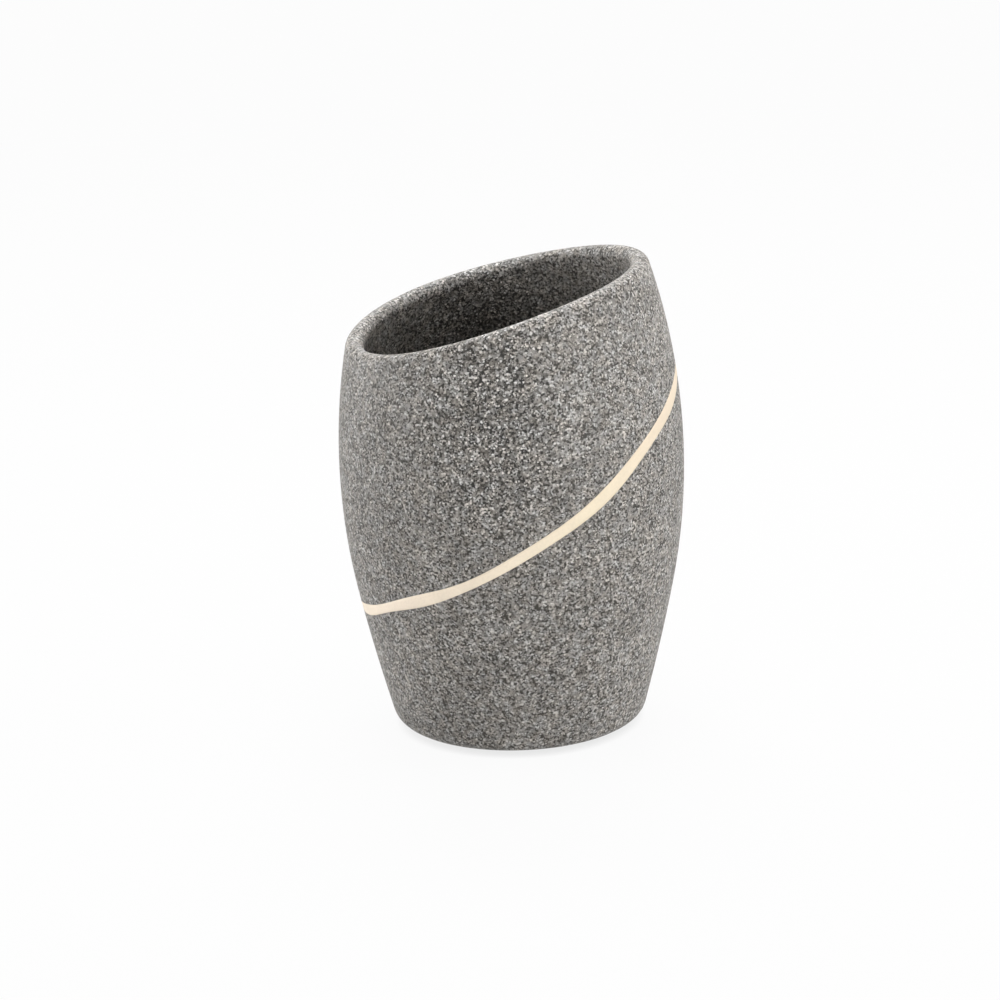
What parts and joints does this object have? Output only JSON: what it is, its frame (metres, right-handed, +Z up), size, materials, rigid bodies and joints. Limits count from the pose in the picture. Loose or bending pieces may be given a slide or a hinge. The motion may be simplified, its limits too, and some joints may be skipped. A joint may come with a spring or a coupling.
{
  "type": "bathroom tumbler",
  "caption": "Barrel-shaped bathroom tumbler in granite-look cast resin, with a slanted mouth, a cream inlaid line winding round the wall, and soft pads under the base.",
  "frame": {"origin": "on the barrel's axis, in the plane that the foot pads rest on", "axes": "+Z up along the barrel's axis; the mouth rises towards +X; the front, where the band climbs from left to right, looks towards -Y"},
  "size_m": [0.08, 0.08, 0.1103],
  "materials": {
    "granite_resin": "matte, fine dark and pale grain",
    "cream_resin": "matte, plain",
    "pad_foam": "matte closed-cell foam"
  },
  "bodies": {
    "root": {"body": "granite_resin", "inlay_band": "cream_resin", "foot_pad_1": "pad_foam", "foot_pad_2": "pad_foam", "foot_pad_3": "pad_foam", "foot_pad_4": "pad_foam"}
  },
  "joints": []
}
